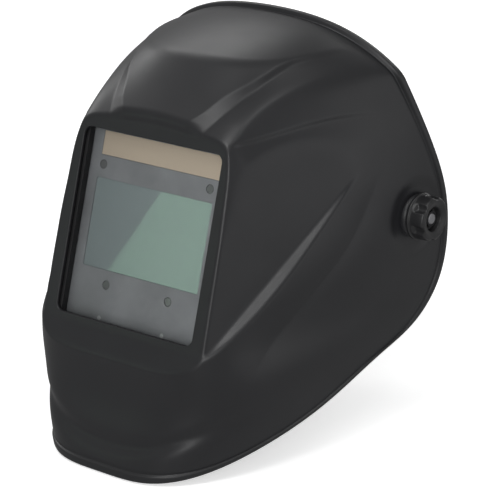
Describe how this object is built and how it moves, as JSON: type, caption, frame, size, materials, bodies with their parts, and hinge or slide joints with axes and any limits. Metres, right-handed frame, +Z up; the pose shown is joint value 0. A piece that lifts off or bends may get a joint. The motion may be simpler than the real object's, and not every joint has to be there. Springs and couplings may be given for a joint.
{
  "type": "welding helmet",
  "caption": "Auto-darkening welding helmet: a faceted shell with a filter window, hinged by side knobs on a ratchet headband with crown straps and pads.",
  "frame": {"origin": "middle of the pivot axis between the two side knobs, where the wearer's temples are", "axes": "+X to the wearer's left, -Y forward through the window, +Z up"},
  "size_m": [0.254, 0.3303, 0.2847],
  "materials": {
    "shell_black": "satin black",
    "pin_steel": "turned steel",
    "frame_black": "matt black",
    "clear_lens": "clear polycarbonate",
    "filter_grey": "dark grey, fine texture",
    "filter_glass": "dark green-grey coated glass",
    "solar_film": "brown solar film under clear plastic",
    "sensor_lens": "dark infrared-clear plastic",
    "led_lens": "clear lens",
    "housing_black": "matt black",
    "board_green": "solder resist",
    "screw_steel": "zinc plated",
    "dial_grey": "dark grey",
    "button_red": "red",
    "cell_steel": "nickel plated",
    "knob_black": "satin black",
    "nut_black": "black oxide finish",
    "nylon_black": "matt nylon",
    "washer_rubber": "matt",
    "headgear_black": "matt moulded nylon",
    "strap_black": "soft matt strap",
    "sweatband_cloth": "padded knit",
    "rear_pad_cloth": "padded knit",
    "rack_nylon": "matt nylon"
  },
  "bodies": {
    "headgear": {"headband": "headgear_black", "side_bracket_left": "headgear_black", "side_bracket_right": "headgear_black", "bracket_screws": "screw_steel", "ratchet_housing": "headgear_black", "ratchet_cover": "headgear_black", "click_spring": "pin_steel", "crown_strap_left": "strap_black", "crown_strap_right": "strap_black", "strap_pegs": "headgear_black", "rear_crown_strap": "strap_black", "strap_rivets": "screw_steel", "sweatband": "sweatband_cloth", "rear_pad": "rear_pad_cloth"},
    "carriage": {"pivot_carriage_left": "headgear_black", "pivot_carriage_right": "headgear_black", "pivot_bolt_left": "screw_steel", "pivot_bolt_right": "screw_steel", "pivot_bush_left": "nylon_black", "pivot_bush_right": "nylon_black", "stop_plate_left": "headgear_black", "stop_plate_right": "headgear_black", "friction_washer_left": "washer_rubber", "friction_washer_right": "washer_rubber", "knob_washer_left": "nylon_black", "knob_washer_right": "nylon_black"},
    "shell": {"shell": "shell_black", "stop_pin_left": "pin_steel", "stop_pin_right": "pin_steel", "window_frame": "frame_black", "cover_lens": "clear_lens", "filter_front_housing": "filter_grey", "lcd_filter": "filter_glass", "solar_cell": "solar_film", "arc_sensors": "sensor_lens", "status_leds": "led_lens", "filter_back_housing": "housing_black", "circuit_board": "board_green", "inner_cover_lens": "clear_lens", "retaining_frame": "housing_black", "retainer_screws": "screw_steel"},
    "knob_left": {"tension_knob_left": "knob_black", "knob_nut_left": "nut_black"},
    "knob_right": {"tension_knob_right": "knob_black", "knob_nut_right": "nut_black"},
    "rack_left": {"rack_left": "rack_nylon"},
    "rack_right": {"rack_right": "rack_nylon"},
    "ratchet_knob": {"ratchet_knob": "knob_black", "ratchet_pinion": "rack_nylon"},
    "shade_knob": {"shade_knob": "dial_grey"},
    "sensitivity_knob": {"sensitivity_knob": "dial_grey"},
    "delay_knob": {"delay_knob": "dial_grey"},
    "test_button": {"test_button": "button_red"},
    "mode_switch": {"mode_switch": "dial_grey"},
    "battery_tray": {"battery_tray": "housing_black", "coin_cells": "cell_steel"}
  },
  "joints": [
    {"name": "reach_slide", "type": "slide", "parent": "headgear", "child": "carriage", "axis": [0, 1, 0], "range_m": [-0.008, 0.008]},
    {"name": "flip_up", "type": "hinge", "parent": "carriage", "child": "shell", "pos_m": [0, 0, 0], "axis": [-1, 0, 0], "range_deg": [0, 85]},
    {"name": "knob_left_turn", "type": "hinge", "parent": "carriage", "child": "knob_left", "pos_m": [0.115, 0, 0], "axis": [1, 0, 0], "range_deg": [-90, 90]},
    {"name": "knob_right_turn", "type": "hinge", "parent": "carriage", "child": "knob_right", "pos_m": [-0.115, 0, 0], "axis": [-1, 0, 0], "range_deg": [-90, 90]},
    {"name": "ratchet_turn", "type": "hinge", "parent": "headgear", "child": "ratchet_knob", "pos_m": [0, 0.09805, -0.01912], "axis": [0, -0.9613, 0.2756], "range_deg": [0, 200]},
    {"name": "rack_left_travel", "type": "hinge", "parent": "headgear", "child": "rack_left", "pos_m": [0, 0.02115, 0.00294], "axis": [0, 0.2756, 0.9613], "range_deg": [0, 15]},
    {"name": "rack_right_travel", "type": "hinge", "parent": "headgear", "child": "rack_right", "pos_m": [0, 0.02115, 0.00294], "axis": [0, 0.2756, 0.9613], "range_deg": [-15, 0]},
    {"name": "shade_knob_turn", "type": "hinge", "parent": "shell", "child": "shade_knob", "pos_m": [-0.032, -0.14728, -0.04758], "axis": [0, 0.9613, -0.2756], "range_deg": [0, 270]},
    {"name": "sensitivity_knob_turn", "type": "hinge", "parent": "shell", "child": "sensitivity_knob", "pos_m": [0, -0.14728, -0.04758], "axis": [0, 0.9613, -0.2756], "range_deg": [0, 270]},
    {"name": "delay_knob_turn", "type": "hinge", "parent": "shell", "child": "delay_knob", "pos_m": [0.032, -0.14728, -0.04758], "axis": [0, 0.9613, -0.2756], "range_deg": [0, 270]},
    {"name": "test_button_press", "type": "slide", "parent": "shell", "child": "test_button", "axis": [0, -0.9613, 0.2756], "range_m": [0, 0.0015], "stiffness_N_per_m": 300, "springref_m": -0.001},
    {"name": "mode_switch_slide", "type": "slide", "parent": "shell", "child": "mode_switch", "axis": [1, 0, 0], "range_m": [0, 0.006]},
    {"name": "battery_tray_pull", "type": "slide", "parent": "shell", "child": "battery_tray", "axis": [0, 0.9613, -0.2756], "range_m": [0, 0.02]}
  ],
  "couplings": [
    {"joint": "rack_left_travel", "follows": "ratchet_turn", "ratio": 0.074074},
    {"joint": "rack_right_travel", "follows": "ratchet_turn", "ratio": -0.074074}
  ]
}
